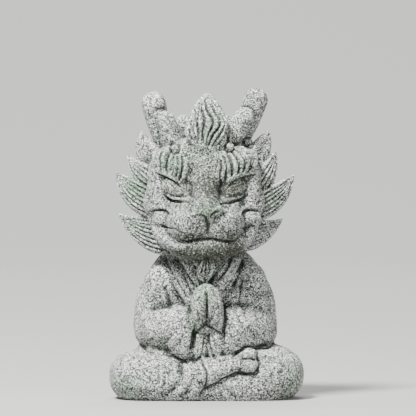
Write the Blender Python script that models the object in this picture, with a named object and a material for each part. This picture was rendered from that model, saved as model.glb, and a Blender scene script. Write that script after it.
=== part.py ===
"""A small dragon in a monk's robe, seated cross-legged with its palms together, cast in one piece of
granite-coloured stone. The figure faces -Y and stands on the flat underside of its crossed legs."""

import math

import bmesh
import bpy
import numpy as np
from mathutils import Euler, Vector

HEIGHT = 0.155  # underside to the tip of the taller horn
MM = HEIGHT / 155  # the pose and carving are laid out in millimetres of a figure 155 mm tall

SOFT_GRAIN = 1.4 * MM  # spacing of the points of the broad masses
GRAIN = 0.9 * MM  # the same for the modelled forms
FINE_GRAIN = 0.7 * MM  # and for the finished carving
SOFTENING = 8  # rounds of smoothing that turn the broad masses into one body
SLEEVE_SOFTENING = 4  # the same for the sleeves laid over it
FACES = 9400  # triangles in the finished solid
CREASE = 32  # degrees between two facets above which their edge looks sharp

AXIS = -1.3  # the face looks out this far left of the seat's middle

FLUTE = 0.95  # half width of the grooves in the mane


def steps_between(count):
    """Evenly spaced values from 0 to 1."""
    return [i / (count - 1) for i in range(count)]


def along(points, t):
    """A smooth curve through any number of points, each a tuple of numbers, at t from 0 to 1."""
    last = len(points) - 1
    place = min(max(t, 0.0), 1.0) * last
    i = min(int(place), last - 1)
    f = place - i
    p0, p1, p2, p3 = (np.array(points[min(max(k, 0), last)], float) for k in (i - 1, i, i + 1, i + 2))
    return 0.5 * (2 * p1 + (p2 - p0) * f + (2 * p0 - 5 * p1 + 4 * p2 - p3) * f**2
                  + (3 * p1 - p0 - 3 * p2 + p3) * f**3)


def new_object(name, mesh_points, faces):
    """A mesh object from points in millimetres."""
    mesh = bpy.data.meshes.new(name)
    mesh.from_pydata([tuple(MM * c for c in p) for p in mesh_points], [], faces)
    made = bpy.data.objects.new(name, mesh)
    bpy.context.collection.objects.link(made)
    return made


def mass(place, radii, turn=(0, 0, 0), boxy=2.0):
    """A rounded mass: an ellipsoid that grows squarer as boxy rises above 2. turn is in degrees about
    x, y, z."""
    bm = bmesh.new()
    bmesh.ops.create_cube(bm, size=2)
    bmesh.ops.subdivide_edges(bm, edges=bm.edges[:], cuts=15, use_grid_fill=True)
    rotation = Euler([math.radians(a) for a in turn]).to_matrix()
    for v in bm.verts:
        x, y, z = (math.tan(c * math.pi / 4) for c in v.co)
        size = (abs(x) ** boxy + abs(y) ** boxy + abs(z) ** boxy) ** (1 / boxy)
        shaped = Vector((x * radii[0], y * radii[1], z * radii[2])) / size
        v.co = (rotation @ shaped + Vector(place)) * MM
    mesh = bpy.data.meshes.new("mass")
    bm.to_mesh(mesh)
    bm.free()
    made = bpy.data.objects.new("mass", mesh)
    bpy.context.collection.objects.link(made)
    return made


def limb(route):
    """A round limb or strand through (x, y, z, radius) points, closed by round ends."""
    sides = 20
    rows = 7 * (len(route) - 1) + 1
    line = [along(route, t) for t in steps_between(rows)]
    first, last = line[0], line[-1]
    rings = []
    for k, point in enumerate(line):
        ahead = line[min(k + 1, rows - 1)][:3] - line[max(k - 1, 0)][:3]
        rings.append((point[:3], max(point[3], 0.05), Vector(ahead).normalized()))
    ends = [math.radians(a) for a in (20, 45, 70)]
    start_dir, end_dir = rings[0][2], rings[-1][2]
    start, finish = [], []
    for a in ends:
        start.insert(0, (first[:3] - np.array(start_dir) * first[3] * math.sin(a),
                         first[3] * math.cos(a), start_dir))
        finish.append((last[:3] + np.array(end_dir) * last[3] * math.sin(a),
                       last[3] * math.cos(a), end_dir))
    rings = start + rings + finish
    points, faces = [], []
    side = rings[0][2].orthogonal().normalized()
    for centre, radius, ahead in rings:
        side = (side - ahead * side.dot(ahead)).normalized()
        other = ahead.cross(side)
        for k in range(sides):
            a = 2 * math.pi * k / sides
            points.append(Vector(centre) + (side * math.cos(a) + other * math.sin(a)) * radius)
    for r in range(len(rings) - 1):
        for k in range(sides):
            a, b = r * sides + k, r * sides + (k + 1) % sides
            faces.append((a, b, b + sides, a + sides))
    points.append(Vector(first[:3]) - start_dir * first[3])
    points.append(Vector(last[:3]) + end_dir * last[3])
    for k in range(sides):
        faces.append(((k + 1) % sides, k, len(points) - 2))
        top = (len(rings) - 1) * sides
        faces.append((top + k, top + (k + 1) % sides, len(points) - 1))
    return new_object("limb", points, faces)


class Leaf:
    """A leaf-shaped lock of hair from root to tip. facing is the way its broad side looks, bow bends it
    sideways and lean bends it that way. start is the share of the leaf buried in its root, sway waves its
    grooves, and taper says how soon it narrows towards root and tip."""

    def __init__(self, root, tip, half_width, facing, thick, grooves=0, bow=0.0, lean=0.0, start=0.15,
                 sway=0.0, taper=(0.6, 0.9)):
        self.root, self.tip, self.half_width = Vector(root), Vector(tip), half_width
        self.looks, self.thick, self.grooves = Vector(facing).normalized(), thick, grooves
        self.bow, self.lean, self.start, self.sway, self.taper = bow, lean, start, sway, taper

    def profile(self, share):
        """Width at a share of the whole leaf's length, 1 where the leaf is widest."""
        rise, fall = self.taper
        widest = rise / (rise + fall)
        return (share / widest) ** rise * ((1 - share) / (1 - widest)) ** fall

    def frame(self, t):
        """Centre, across, out and half width of the leaf at t."""
        run = self.tip - self.root
        side = self.looks.cross(run).normalized()
        centre = self.root + run * t + (side * self.bow + self.looks * self.lean) * (4 * t * (1 - t))
        ahead = (run + (side * self.bow + self.looks * self.lean) * (4 - 8 * t)).normalized()
        across = self.looks.cross(ahead).normalized()
        share = self.start + (1 - self.start) * t
        width = self.half_width * max(self.profile(share), 0.03)
        return centre, across, ahead.cross(across), width

    def crown(self, s, width):
        """Height of the broad side above the leaf's middle, at s from -1 to 1 across it."""
        return (1 - abs(s) ** 2.6) ** 0.5 * self.thick * min(1.0, 0.3 + width / self.half_width)

    def solid(self):
        """The leaf as a closed mesh object."""
        rows, cols = 28, 16
        points, faces = [], []
        for t in steps_between(rows):
            centre, across, out, width = self.frame(t)
            for k in range(2 * cols):
                s = -math.cos(math.pi * k / cols)
                lift = self.crown(s, width) * (1 if k <= cols else -0.6)
                points.append(centre + across * width * s + out * lift)
        ring = 2 * cols
        for r in range(rows - 1):
            for k in range(ring):
                a, b = r * ring + k, r * ring + (k + 1) % ring
                faces.append((b, a, a + ring, b + ring))
        faces.append(tuple(range(ring)))
        faces.append(tuple(reversed(range((rows - 1) * ring, rows * ring))))
        return new_object("lock", points, faces)

    def groove_lines(self):
        """The grooves as 3-D lines on the broad side."""
        lines = []
        for k in range(self.grooves):
            middle = (2 * (k + 1) / (self.grooves + 1) - 1) * 0.95
            line = []
            for t in steps_between(15):
                s = middle + self.sway * math.sin(2 * math.pi * t) * (1 - middle * middle)
                centre, across, out, width = self.frame(0.06 + 0.9 * t)
                line.append(centre + across * width * s + out * self.crown(s, width))
            lines.append(line)
        return lines


def fuse(name, forms, grain, rounds):
    """One closed body of all the forms, smoothed."""
    bm = bmesh.new()
    for form in forms:
        bm.from_mesh(form.data)
        bpy.data.objects.remove(form)
    bmesh.ops.recalc_face_normals(bm, faces=bm.faces[:])
    mesh = bpy.data.meshes.new(name)
    bm.to_mesh(mesh)
    bm.free()
    made = bpy.data.objects.new(name, mesh)
    bpy.context.collection.objects.link(made)
    remesh = made.modifiers.new("fuse", "REMESH")
    remesh.mode = "VOXEL"
    remesh.voxel_size = grain
    smooth = made.modifiers.new("smooth", "SMOOTH")
    smooth.iterations = rounds
    smooth.factor = 0.5
    bake(made)
    return made


def bake(made):
    """Replaces an object's mesh by what its modifiers make of it."""
    graph = bpy.context.evaluated_depsgraph_get()
    baked = bpy.data.meshes.new_from_object(made.evaluated_get(graph))
    made.modifiers.clear()
    made.data = baked


class Chisel:
    """Cuts grooves, raises ridges and steps, along lines on a body."""

    def __init__(self, body):
        self.mesh = body.data
        flat = np.empty(len(self.mesh.vertices) * 3, np.float32)
        self.mesh.vertices.foreach_get("co", flat)
        self.points = flat.reshape(-1, 3).astype(float) / MM
        self.mesh.vertices.foreach_get("normal", flat)
        self.normals = flat.reshape(-1, 3).astype(float)

    def measure(self, found, here, drawn):
        """Distance from each point to a drawn line, the share of the line reached, and the side the
        point lies on."""
        best = np.full(len(found), 1e9)
        share = np.zeros(len(found))
        side = np.zeros(len(found))
        for k in range(len(drawn) - 1):
            a, run = drawn[k], drawn[k + 1] - drawn[k]
            t = np.clip((here - a) @ run / max(run @ run, 1e-9), 0, 1)
            gap = np.linalg.norm(here - a - t[:, None] * run, axis=1)
            closer = gap < best
            best[closer] = gap[closer]
            share[closer] = (k + t[closer]) / (len(drawn) - 1)
            if here.shape[1] == 2:
                turn = run[0] * (here[:, 1] - a[1]) - run[1] * (here[:, 0] - a[0])
                side[closer] = np.sign(turn[closer])
        return best, share, side

    @staticmethod
    def ends(share, quick):
        """Fades a stroke out towards both ends of its line."""
        return np.clip(np.minimum(share, 1 - share) * quick + 0.15, 0, 1)

    def reach(self, line, margin, facing, near):
        """The skin near a line drawn as seen from the front (facing -1) or from behind (facing 1)."""
        drawn = np.array([along(line, t) for t in steps_between(6 * (len(line) - 1) + 1)])
        flat = self.points[:, [0, 2]]
        inside = ((flat > drawn.min(0) - margin) & (flat < drawn.max(0) + margin)).all(1)
        inside &= self.normals[:, 1] * facing > -0.1
        if near:
            inside &= (self.points[:, 1] > near[0]) & (self.points[:, 1] < near[1])
        found = np.nonzero(inside)[0]
        return found, flat[found], drawn

    def cut(self, line, width, depth, facing=-1, near=None):
        """Cuts a groove along (x, z) points, or raises a ridge where depth is negative. near is the
        (lowest, highest) y that it may touch."""
        found, here, drawn = self.reach(line, 3 * width, facing, near)
        best, share, _ = self.measure(found, here, drawn)
        bite = depth * np.exp(-(best / width) ** 2) * self.ends(share, 5)
        self.points[found] -= self.normals[found] * bite[:, None]

    def step(self, line, height, fall, facing=-1, near=None):
        """Raises the skin on the left of a line, as it is drawn, and cuts a crease along its foot."""
        found, here, drawn = self.reach(line, 2.5 * fall, facing, near)
        best, share, side = self.measure(found, here, drawn)
        away = best * side
        up = height * np.exp(-(away / fall) ** 2) / (1 + np.exp(-away / 0.28))
        down = 0.45 * height * np.exp(-((away + 0.6) / 0.8) ** 2)
        self.points[found] += self.normals[found] * ((up - down) * self.ends(share, 5))[:, None]

    def groove(self, line, width, depth, looks):
        """Cuts a groove along a line in space into the skin that looks the same way as looks."""
        drawn = np.array(line)
        low, high = drawn.min(0) - 3 * width, drawn.max(0) + 3 * width
        found = np.nonzero(((self.points > low) & (self.points < high)).all(1))[0]
        found = found[self.normals[found] @ np.array(looks) > 0.1]
        best, share, _ = self.measure(found, self.points[found], drawn)
        bite = depth * np.exp(-(best / width) ** 2) * self.ends(share, 6)
        self.points[found] -= self.normals[found] * bite[:, None]

    def done(self):
        """Puts the carved skin back on the body."""
        self.mesh.vertices.foreach_set("co", (self.points * MM).astype(np.float32).ravel())
        self.mesh.update()


def pair(x, y, z):
    """The same place on both halves of the face, left then right."""
    return [(side, (AXIS + side * x, y, z)) for side in (-1, 1)]


def broad_masses():
    """Seat, trunk, sleeves and head, before any carving."""
    forms = [
        mass((-26.5, -5, 11), (22, 25, 15), boxy=2.3),
        mass((27.5, -5, 12), (21.5, 25, 15.3), boxy=2.3),
        mass((0, 8, 13), (33, 23, 17), boxy=2.3),
        mass((16, -16, 7), (26, 15, 11), boxy=2.3),
        mass((-12, -16, 8), (20, 15, 11), boxy=2.3),
        mass((0, 3, 42), (24, 18, 32)),
        mass((0, 4, 58), (25, 15, 15)),
        mass((0, -9, 28), (14, 11, 14)),
        mass((AXIS, 2, 71), (20, 17, 9)),
        mass((AXIS, -6, 67), (12, 10, 9)),
        mass((AXIS, 3, 106), (28.5, 25, 28), boxy=2.2),
        mass((AXIS, -3, 92), (28, 22, 15), boxy=2.2),
        mass((AXIS, -14, 119), (20, 11, 13)),
        mass((AXIS, -24, 88), (19.5, 13.5, 11), boxy=2.4),
        mass((AXIS, -18, 76.5), (19, 16, 8)),
        mass((AXIS, -26, 85.5), (15.5, 9.5, 6.5), boxy=3),
        limb([(AXIS, -13, 122, 11), (AXIS, -18.5, 112, 9.5), (AXIS, -25, 102, 9.2), (AXIS, -31.5, 95, 9)]),
    ]
    for side, place in pair(15.5, -13, 118):
        forms.append(mass(place, (10.5, 9.5, 8.5), turn=(0, -12 * side, 0)))
        forms.append(mass((AXIS + side * 12.5, -18, 114.5), (6.5, 8.5, 10), turn=(0, 14 * side, 0)))
        forms.append(mass((AXIS + side * 21, -9, 98), (10, 13, 11)))
        forms.append(mass((AXIS + side * 8.4, -28, 87.2), (8.6, 9.8, 8.7), boxy=2.8))
        forms.append(mass((AXIS + side * 9.5, -22, 98), (8, 8, 6)))
        forms.append(mass((AXIS + side * 22, -14, 103.5), (6.5, 7.5, 7)))
    for side in (-1, 1):
        forms.append(limb([(side * 14.5, 5, 62.5, 12.2), (side * 22.8, 3, 49, 12),
                           (side * 24.7, -1, 35, 11.3)]))
        forms.append(mass((side * 20, -2.5, 55), (10.5, 10.8, 13.5), turn=(0, 20 * side, 0)))
        forms.append(mass((AXIS + side * 22, -8, 110), (7, 11, 11)))
    return forms


def sleeves():
    """The forearms in their wide sleeves, with the cloth that hangs from the wrists."""
    forms = [
        mass((-13.2, -20, 32.8), (8.2, 9.2, 14.2), turn=(0, -16, 0)),
        mass((12.6, -20, 33), (7.6, 9, 13.8), turn=(0, 13, 0)),
        mass((0.5, -17.5, 24), (6, 6, 6)),
    ]
    for side in (-1, 1):
        forms.append(limb([(side * 26, 3, 36.5, 10.4), (side * 22, -9, 35.5, 11.8),
                           (side * 14, -17, 36, 11.2)]))
        forms.append(mass((side * 24.8, -4, 33.5), (11.0, 13, 9.5)))
    return forms


def face_forms():
    """The overhanging brows, the lids, nose, cheeks and jaw."""
    forms = [mass((AXIS + 0.3, -36.4, 95.0), (6.6, 4.0, 3.6))]
    jaw = [(24, -13, 91, 4.2), (20, -20.5, 81.6, 4.8), (11, -29.5, 76.3, 4.6)]
    left = [(AXIS - x, y, z, r) for x, y, z, r in jaw]
    right = [(AXIS + x, y, z, r) for x, y, z, r in reversed(jaw)]
    forms.append(limb([*left, (AXIS, -33, 75.2, 4.9), *right]))
    for side, place in pair(14.8, -21.4, 104.9):
        forms.append(mass(place, (8.8, 4.4, 5.6), turn=(0, -18 * side, 34 * side)))
        forms.append(mass((AXIS + side * 21.2, -18.8, 89.8), (5.4, 6, 4.6)))
        forms.append(mass((AXIS + side * 5, -36.8, 93.8), (2.4, 2.7, 2.0)))
        ridge = [(24.5, -17.6, 114.2, 1.2), (20.5, -20.6, 113.2, 2.3), (16, -24, 111.6, 2.7),
                 (12, -24.8, 109.1, 2.6), (9.4, -26.0, 106.4, 1.7)]
        forms.append(limb([(AXIS + side * x, y, z, r) for x, y, z, r in ridge]))
    for place in ((-16, -22, 125.4), (10.7, -22.6, 126.2), (20.3, -10, 128)):
        forms.append(mass(place, (2.6, 2.6, 2.5)))
    return forms


def horns():
    """Two horns on each side, the crest's core, and a rise behind each pair."""
    return [
        limb([(-16, 2, 124, 8), (-19.5, 2, 130, 6.8), (-23.6, 2, 138.8, 6.1),
              (-25.9, 2, 146.9, 6.3)]),
        limb([(-15, -4, 126, 7), (-17.6, -6, 131, 5.4), (-20.2, -7, 139.0, 4.7)]),
        limb([(12, 2, 122, 8), (15.6, 2, 129, 6.8), (21.6, 2, 139.0, 5.9), (25.2, 2, 148.8, 6.3)]),
        limb([(10.5, -4, 124, 7), (13.4, -6, 131, 5.8), (19.4, -7, 140.2, 5.3)]),
        mass((-0.6, -14, 134), (7.5, 6, 9), turn=(-20, 0, 0)),
        mass((-0.1, -12.3, 142.5), (5.2, 4.6, 7.5), turn=(-16, 0, 0)),
        mass((-10, 9, 136), (5, 6, 5.5)),
        mass((10, 9, 136), (5, 6, 5.5)),
    ]


def robe_forms():
    """The inner flaps of the sleeves, the hem over the shin and the foot with its toes."""
    return [
        limb([(-17.5, 3, 70, 4), (-14.5, -9, 63.5, 4.6), (-9.5, -14.5, 54, 4.6), (-6, -17, 48, 4.4)]),
        limb([(16, 3, 70, 4), (11.5, -10, 64, 4.7), (6, -15.5, 56, 4.7), (1, -17, 50, 4.4)]),
        mass((-3.4, -19, 27), (4.0, 6.2, 10), boxy=2.5),
        mass((4.6, -19.5, 28), (5.4, 6.8, 10), boxy=2.5),
        mass((-8.2, -23, 9.8), (7.4, 8.8, 11), boxy=2.3),
        limb([(-3, -24, 13.4, 7.6), (1.0, -26, 14.2, 7.4), (7.0, -27, 16.4, 5.9),
              (13.0, -27, 18.4, 4.6), (17.6, -26.5, 18.4, 4.4)]),
        mass((19.9, -27.5, 17.4), (4.3, 4.6, 3.9)),
        mass((19.2, -26.5, 22.6), (4.7, 4.6, 3.1), turn=(0, -10, 0)),
    ]


def hands():
    """Two palms laid together, the thumbs along the seam."""
    forms = [
        mass((-1.0, -26.8, 56.0), (3.6, 4.2, 2.6)),
        mass((-1.1, -26, 47), (3.6, 5.4, 8.5), boxy=2.4),
    ]
    for side, middle, wide in ((-1, -1.2, 4.1), (1, -0.9, 4.6)):
        palm = (middle + side * 4.2, -26.5, 45.6)
        forms.append(mass(palm, (wide, 7, 11.6), turn=(12, -9 * side, 0), boxy=2.2))
        forms.append(mass((middle + side * 2.4, -31, 47.5), (2.4, 3.2, 7.5), turn=(12, -5 * side, 0)))
        forms.append(mass((middle + side * 1.7, -28.2, 54.0), (3.0, 4.6, 4.0)))
    return forms


# the locks beside the face, from the ear down: root, tip, half width, grooves, bow, and how soon each
# narrows towards its tip
LEFT_MANE = [
    ((-20.5, -6, 113), (-32.2, -1, 134), 7.4, 0, 3.0, 0.9),
    ((-22, -12, 107), (-39.0, 0, 121.4), 5.8, 3, 2.0, 0.9),
    ((-22.5, -13, 96), (-44.5, 1, 113.2), 7.9, 4, 3.2, 0.9),
    ((-14, -17, 81), (-44.4, 1, 92.8), 9.4, 4, 3.6, 1.15),
]
RIGHT_MANE = [
    ((18.5, -6, 113), (31.3, -1, 134.4), 7.0, 0, -2.0, 0.9),
    ((21, -11, 101), (35.0, 0, 123.4), 6.2, 3, -2.2, 0.9),
    ((20.5, -13, 94), (44.2, 1, 111.5), 7.4, 4, -3.2, 0.9),
    ((13, -17, 80), (39.0, 0, 89.6), 7.3, 4, -2.2, 1.05),
]

# locks in the row, height and reach from the head's middle of their roots, and of their tips
NAPE_ROWS = [
    (5, 131, 11, 114, 27.5),
    (6, 117, 21.5, 99, 29.5),
    (7, 102, 22.5, 84, 28),
    (6, 89, 19.5, 74, 22.5),
]


def mane():
    """The crest, the locks beside the face, and the rows that wrap the back of the head."""
    leaves = [Leaf((-0.6, -20.6, 121.8), (0.2, -9.5, 152.4), 10.8, (0, -1, 0.25), 5.0, grooves=6, lean=3.6,
                   start=0.0, sway=0.28, taper=(0.55, 0.85)),
              Leaf((-0.6, -9, 124), (0.2, -9.3, 152), 10.6, (0, 1, 0), 5, grooves=4, lean=1.5)]
    for side, locks in ((-1, LEFT_MANE), (1, RIGHT_MANE)):
        for root, tip, width, grooves, bow, fall in locks:
            leaves.append(Leaf(root, tip, width, (side * 0.5, -1, 0), 3.4, grooves=grooves, bow=bow,
                               taper=(0.6, fall)))
    for count, top, top_reach, foot, foot_reach in NAPE_ROWS:
        for k in range(count):
            tilt = 2 * k / (count - 1) - 1
            turn = math.radians(62 * tilt)
            out = Vector((math.sin(turn), math.cos(turn), 0))
            aside = Vector((math.cos(turn), -math.sin(turn), 0)) * tilt * abs(tilt)
            root = Vector((AXIS, 3, top)) + out * top_reach
            drop = (top - foot) * (1 - 0.4 * tilt * tilt)
            tip = Vector((AXIS, 3, top - drop)) + out * foot_reach + aside * 6
            leaves.append(Leaf(root, tip, 7, out + Vector((0, 0, 0.3)), 2.6, grooves=1, lean=2.5))
    return leaves


def carve(body, leaves):
    """All the lines cut into the finished body."""
    chisel = Chisel(body)
    face = (-60, -8)
    for leaf in leaves:
        for line in leaf.groove_lines():
            chisel.groove(line, FLUTE, 1.6, leaf.looks)
    for side in (-1, 1):
        def on_face(*points):
            return [(AXIS + side * x, z) for x, z in points]

        chisel.cut(on_face((26, 112.4), (19.5, 110.5), (14, 107.6), (11.3, 105.9), (9, 103.2)), 0.75, 1.6,
                   near=face)
        for share in steps_between(6):
            foot = (7.6 + 15 * share, 107.8 + 6.5 * share**0.7)
            top = (7.8 + 10 * share, 120 + 6 * share)
            bend = (0.5 * (top[0] + foot[0]) + 0.3 + 1.4 * share, 0.5 * (top[1] + foot[1]))
            chisel.cut(on_face(foot, bend, top), 0.7, 1.5, near=face)
        chisel.cut(on_face((20.4, 103.4), (15.5, 100.4), (11.8, 100.3), (7, 98.9)), 0.75, -1.0, near=face)
        chisel.cut(on_face((19.9, 101.4), (15.6, 98.7), (11.8, 98.6), (9, 98.8)), 0.75, 1.6, near=face)
        chisel.cut(on_face((28, 95.2), (22, 96.1), (18, 94.4), (17.2, 91)), 1.1, -0.8, near=face)
        chisel.cut(on_face((27.4, 93.6), (23, 94.6), (18.9, 93.8), (18.2, 91.8)), 0.7, 1.0, near=face)
        chisel.cut(on_face((24, 87.6), (20.7, 86), (17.2, 86)), 0.7, 1.1, near=face)
    chisel.cut([(-0.6, 91), (0.7, 93.2), (2.8, 95.4), (4.6, 96)], 0.6, 0.9, near=(-60, -30))
    chisel.cut([(-0.3, 92), (1.7, 93.7), (4.4, 94.8), (6, 93.8), (5, 91.9)], 0.7, -0.6, near=(-60, -30))
    chisel.cut([(-15.2, 80.6), (-11, 79.3), (-1, 80.8), (10.1, 79.2), (13.4, 80)], 0.7, 1.8, near=(-60, -20))
    chisel.cut([(-1.2, 92.5), (-1.1, 89.5), (-1.1, 84)], 0.8, 0.6, near=(-60, -25))
    # The robe's collar, the armpits and elbows, the sleeves' edges and their soft folds.
    for line, width, depth in (
        ([(-20.5, 70.5), (-14.7, 58.1), (-9.3, 49.9)], 0.8, 1.0),
        ([(-13.9, 69.4), (-9.5, 61.3), (-5.8, 56.4)], 0.9, 1.4),
        ([(19, 70.3), (14.6, 61.9), (7.8, 52.4)], 0.9, 1.5),
        ([(13, 71.7), (8.7, 64.2), (4.2, 59.3)], 0.9, 1.4),
        ([(-21.2, 57), (-19.2, 50.6), (-17.6, 47.4)], 1.0, 1.2),
        ([(18.1, 60.8), (16.3, 51.7), (15.8, 47.2)], 0.9, 1.4),
        ([(-29.7, 44.4), (-24.2, 46.4), (-14.7, 46.9)], 0.9, 2.0),
        ([(10.4, 47.8), (20.3, 47), (28.5, 42.4)], 0.9, 1.8),
        ([(13, 46.6), (14.3, 43.4), (16, 39.4)], 1.2, 0.8),
        ([(-13.7, 38.3), (-15.2, 33.3), (-18.2, 24.8)], 1.8, 1.0),
        ([(-34.5, 28), (-27.2, 23.8), (-19.7, 22.8), (-9.7, 19.1), (-3.7, 22.3), (-1.8, 35)], 0.9, 2.4),
        ([(34, 27.5), (24.5, 26), (16, 25.1), (9.6, 21.5), (4.6, 20.8), (-0.1, 34.5)], 0.9, 2.0),
        ([(-9.2, 47.5), (-7.9, 39.3), (-7.3, 32)], 0.8, 1.4),
        ([(-7.2, 34.5), (-7.3, 30.5), (-8.9, 24.5)], 1.1, 2.0),
        ([(8.7, 48.5), (7.9, 36), (7.8, 29)], 0.8, 1.3),
        ([(-0.9, 37), (-0.8, 31), (-0.8, 25)], 1.0, 1.5),
    ):
        chisel.cut(line, width, depth, near=(-45, 3))
    # The seam and undersides of the palms, the foot's sole and toes, and the robe over the legs.
    for line, width, depth in (
        ([(-1.1, 54.4), (-1, 46), (-1.2, 37.6)], 0.65, 1.5),
        ([(2.6, 54.6), (5.75, 47.7), (3.9, 44.1)], 0.75, 0.9),
        ([(-7.4, 33), (-1.2, 38.2), (6.4, 33.4)], 0.8, 1.7),
        ([(-3.9, 20.4), (-1.5, 15.3), (-1.3, 9.2), (-4.7, 1)], 0.8, 1.6),
        ([(-2.4, 5.3), (3.9, 9), (11.4, 12.9), (16.7, 13.7), (22.3, 14.4)], 0.75, 1.5),
        ([(15.2, 20.3), (19.6, 21.3), (23.2, 20)], 0.6, 1.0),
        ([(6, 8.8), (8.9, 5.3), (14.6, 0.6)], 1.3, 0.8),
        ([(-13.7, 19.8), (-14.7, 11.8), (-22.7, 5.8)], 1.8, 0.8),
        ([(-11.7, 16.8), (-12.2, 9.8), (-22.7, 0.3)], 1.5, 0.9),
        ([(23.5, 20.8), (28, 21.8), (33.5, 21.2)], 1.3, 0.9),
        ([(-39, 21.2), (-34.2, 22.6), (-30.7, 22.3)], 1.2, 0.8),
    ):
        chisel.cut(line, width, depth, near=(-45, 5))
    # Behind: the collar, the fall of the robe from the shoulders and the folds over the seat.
    back = (-5, 60)
    chisel.step([(-17, 66), (-8, 62.5), (0, 61.5), (8, 62.5), (17, 66)], 1.4, 5, facing=1, near=back)
    for side in (-1, 1):
        chisel.cut([(side * 17, 58), (side * 15.5, 47), (side * 17, 33), (side * 19, 26)], 1.3, 1.5,
                   facing=1, near=back)
        chisel.cut([(side * 5, 52), (side * 7, 40), (side * 6, 28)], 1.6, 0.8, facing=1, near=back)
        chisel.cut([(side * 38, 20), (side * 28, 23.5), (side * 18, 22)], 1.4, 1.2, facing=1, near=back)
    chisel.cut([(-24, 14), (-8, 10), (10, 10), (26, 14)], 1.6, 1.0, facing=1, near=back)
    chisel.done()


def beard():
    """A short tuft that hangs from the chin in three locks."""
    tips = ((-3.5, 63), (-0.9, 59.7), (1.7, 63))
    return [Leaf((-1.1 + 0.05 * x, -24, 74), (x, -20.3, z), 2.0, (0.1 * x, -1, 0), 2.6, grooves=1,
                 lean=1.5, bow=0.5 * (x + 0.9)) for x, z in tips]


def stand_flat(body):
    """Cuts the body off level at z = 0 and closes the cut."""
    bm = bmesh.new()
    bm.from_mesh(body.data)
    everything = bm.verts[:] + bm.edges[:] + bm.faces[:]
    bmesh.ops.bisect_plane(bm, geom=everything, plane_co=(0, 0, 0), plane_no=(0, 0, -1), clear_outer=True,
                           dist=1e-7)
    rim = [e for e in bm.edges if e.is_boundary]
    bmesh.ops.triangle_fill(bm, use_beauty=True, edges=rim)
    bmesh.ops.recalc_face_normals(bm, faces=bm.faces[:])
    bm.to_mesh(body.data)
    bm.free()


def granite():
    """Pale grey-green granite-like cast stone, dull and slightly rough."""
    made = bpy.data.materials.new("stone")
    made.use_nodes = True
    shader = made.node_tree.nodes["Principled BSDF"]
    shader.inputs["Base Color"].default_value = (0.36, 0.38, 0.37, 1)
    shader.inputs["Roughness"].default_value = 0.85
    shader.inputs["Metallic"].default_value = 0.0
    return made


def build():
    for old in list(bpy.data.objects):
        bpy.data.objects.remove(old)
    core = fuse("core", broad_masses(), SOFT_GRAIN, SOFTENING)
    core = fuse("core", [core, *sleeves()], 0.8 * SOFT_GRAIN, SLEEVE_SOFTENING)
    forms = [core, *face_forms(), *horns(), *robe_forms(), *hands()]
    body = fuse("body", forms, GRAIN, 3)
    leaves = [*mane(), *beard()]
    forms = [body, *(leaf.solid() for leaf in leaves)]
    dragon = fuse("dragon_figure", forms, FINE_GRAIN, 2)
    carve(dragon, leaves)
    dragon.data.calc_loop_triangles()
    thin = dragon.modifiers.new("thin", "DECIMATE")
    thin.ratio = FACES / len(dragon.data.loop_triangles)
    bake(dragon)
    stand_flat(dragon)
    dragon.data.shade_smooth()
    dragon.data.set_sharp_from_angle(angle=math.radians(CREASE))
    dragon.data.materials.append(granite())


build()
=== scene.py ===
import math

import bpy
import numpy as np
from mathutils import Euler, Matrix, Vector
from mathutils.bvhtree import BVHTree


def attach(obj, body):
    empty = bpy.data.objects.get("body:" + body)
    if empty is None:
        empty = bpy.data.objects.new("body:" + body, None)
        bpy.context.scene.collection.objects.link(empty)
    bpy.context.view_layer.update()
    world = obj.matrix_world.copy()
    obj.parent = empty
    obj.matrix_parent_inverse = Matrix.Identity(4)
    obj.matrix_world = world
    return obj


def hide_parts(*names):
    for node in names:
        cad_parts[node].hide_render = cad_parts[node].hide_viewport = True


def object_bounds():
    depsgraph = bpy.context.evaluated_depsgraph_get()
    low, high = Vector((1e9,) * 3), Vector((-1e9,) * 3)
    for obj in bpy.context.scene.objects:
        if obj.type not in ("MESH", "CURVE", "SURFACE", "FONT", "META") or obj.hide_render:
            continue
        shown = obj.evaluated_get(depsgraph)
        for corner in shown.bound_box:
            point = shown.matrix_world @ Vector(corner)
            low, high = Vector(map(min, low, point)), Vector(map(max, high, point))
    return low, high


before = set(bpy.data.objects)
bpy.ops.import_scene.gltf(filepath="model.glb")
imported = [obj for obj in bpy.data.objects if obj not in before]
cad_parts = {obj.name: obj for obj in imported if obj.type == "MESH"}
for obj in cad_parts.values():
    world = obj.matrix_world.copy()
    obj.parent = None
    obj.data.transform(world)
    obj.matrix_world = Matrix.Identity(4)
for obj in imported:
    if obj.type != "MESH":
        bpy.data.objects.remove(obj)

# The crossed legs under the robe, and the seat behind them. The figure is one casting of stone chips
# in cement, so its forms are heaped up as soft masses first, and are then fused into one body.
# Places and sizes are in millimetres: x to the right, y away from the camera, z up from the floor.
solid_low, solid_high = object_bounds()
MM = 0.001
bpy.ops.object.select_all(action="DESELECT")


def along(points, t):
    """A smooth curve through any number of points, each a tuple of numbers, at t from 0 to 1."""
    last = len(points) - 1
    place = min(max(t, 0.0), 1.0) * last
    i = min(int(place), last - 1)
    f = place - i
    p0, p1, p2, p3 = (np.array(points[min(max(k, 0), last)], float) for k in (i - 1, i, i + 1, i + 2))
    return 0.5 * (2 * p1 + (p2 - p0) * f + (2 * p0 - 5 * p1 + 4 * p2 - p3) * f**2
                  + (3 * p1 - p0 - 3 * p2 + p3) * f**3)


def read_points(mesh, kind="co"):
    """The places of a mesh's points, or their normals, with one row for each."""
    values = np.empty(len(mesh.vertices) * 3, np.float32)
    mesh.vertices.foreach_get(kind, values)
    return values.reshape(-1, 3).astype(float)


def write_points(mesh, places):
    """Moves a mesh's points to places given in metres."""
    mesh.vertices.foreach_set("co", places.astype(np.float32).ravel())


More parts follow.
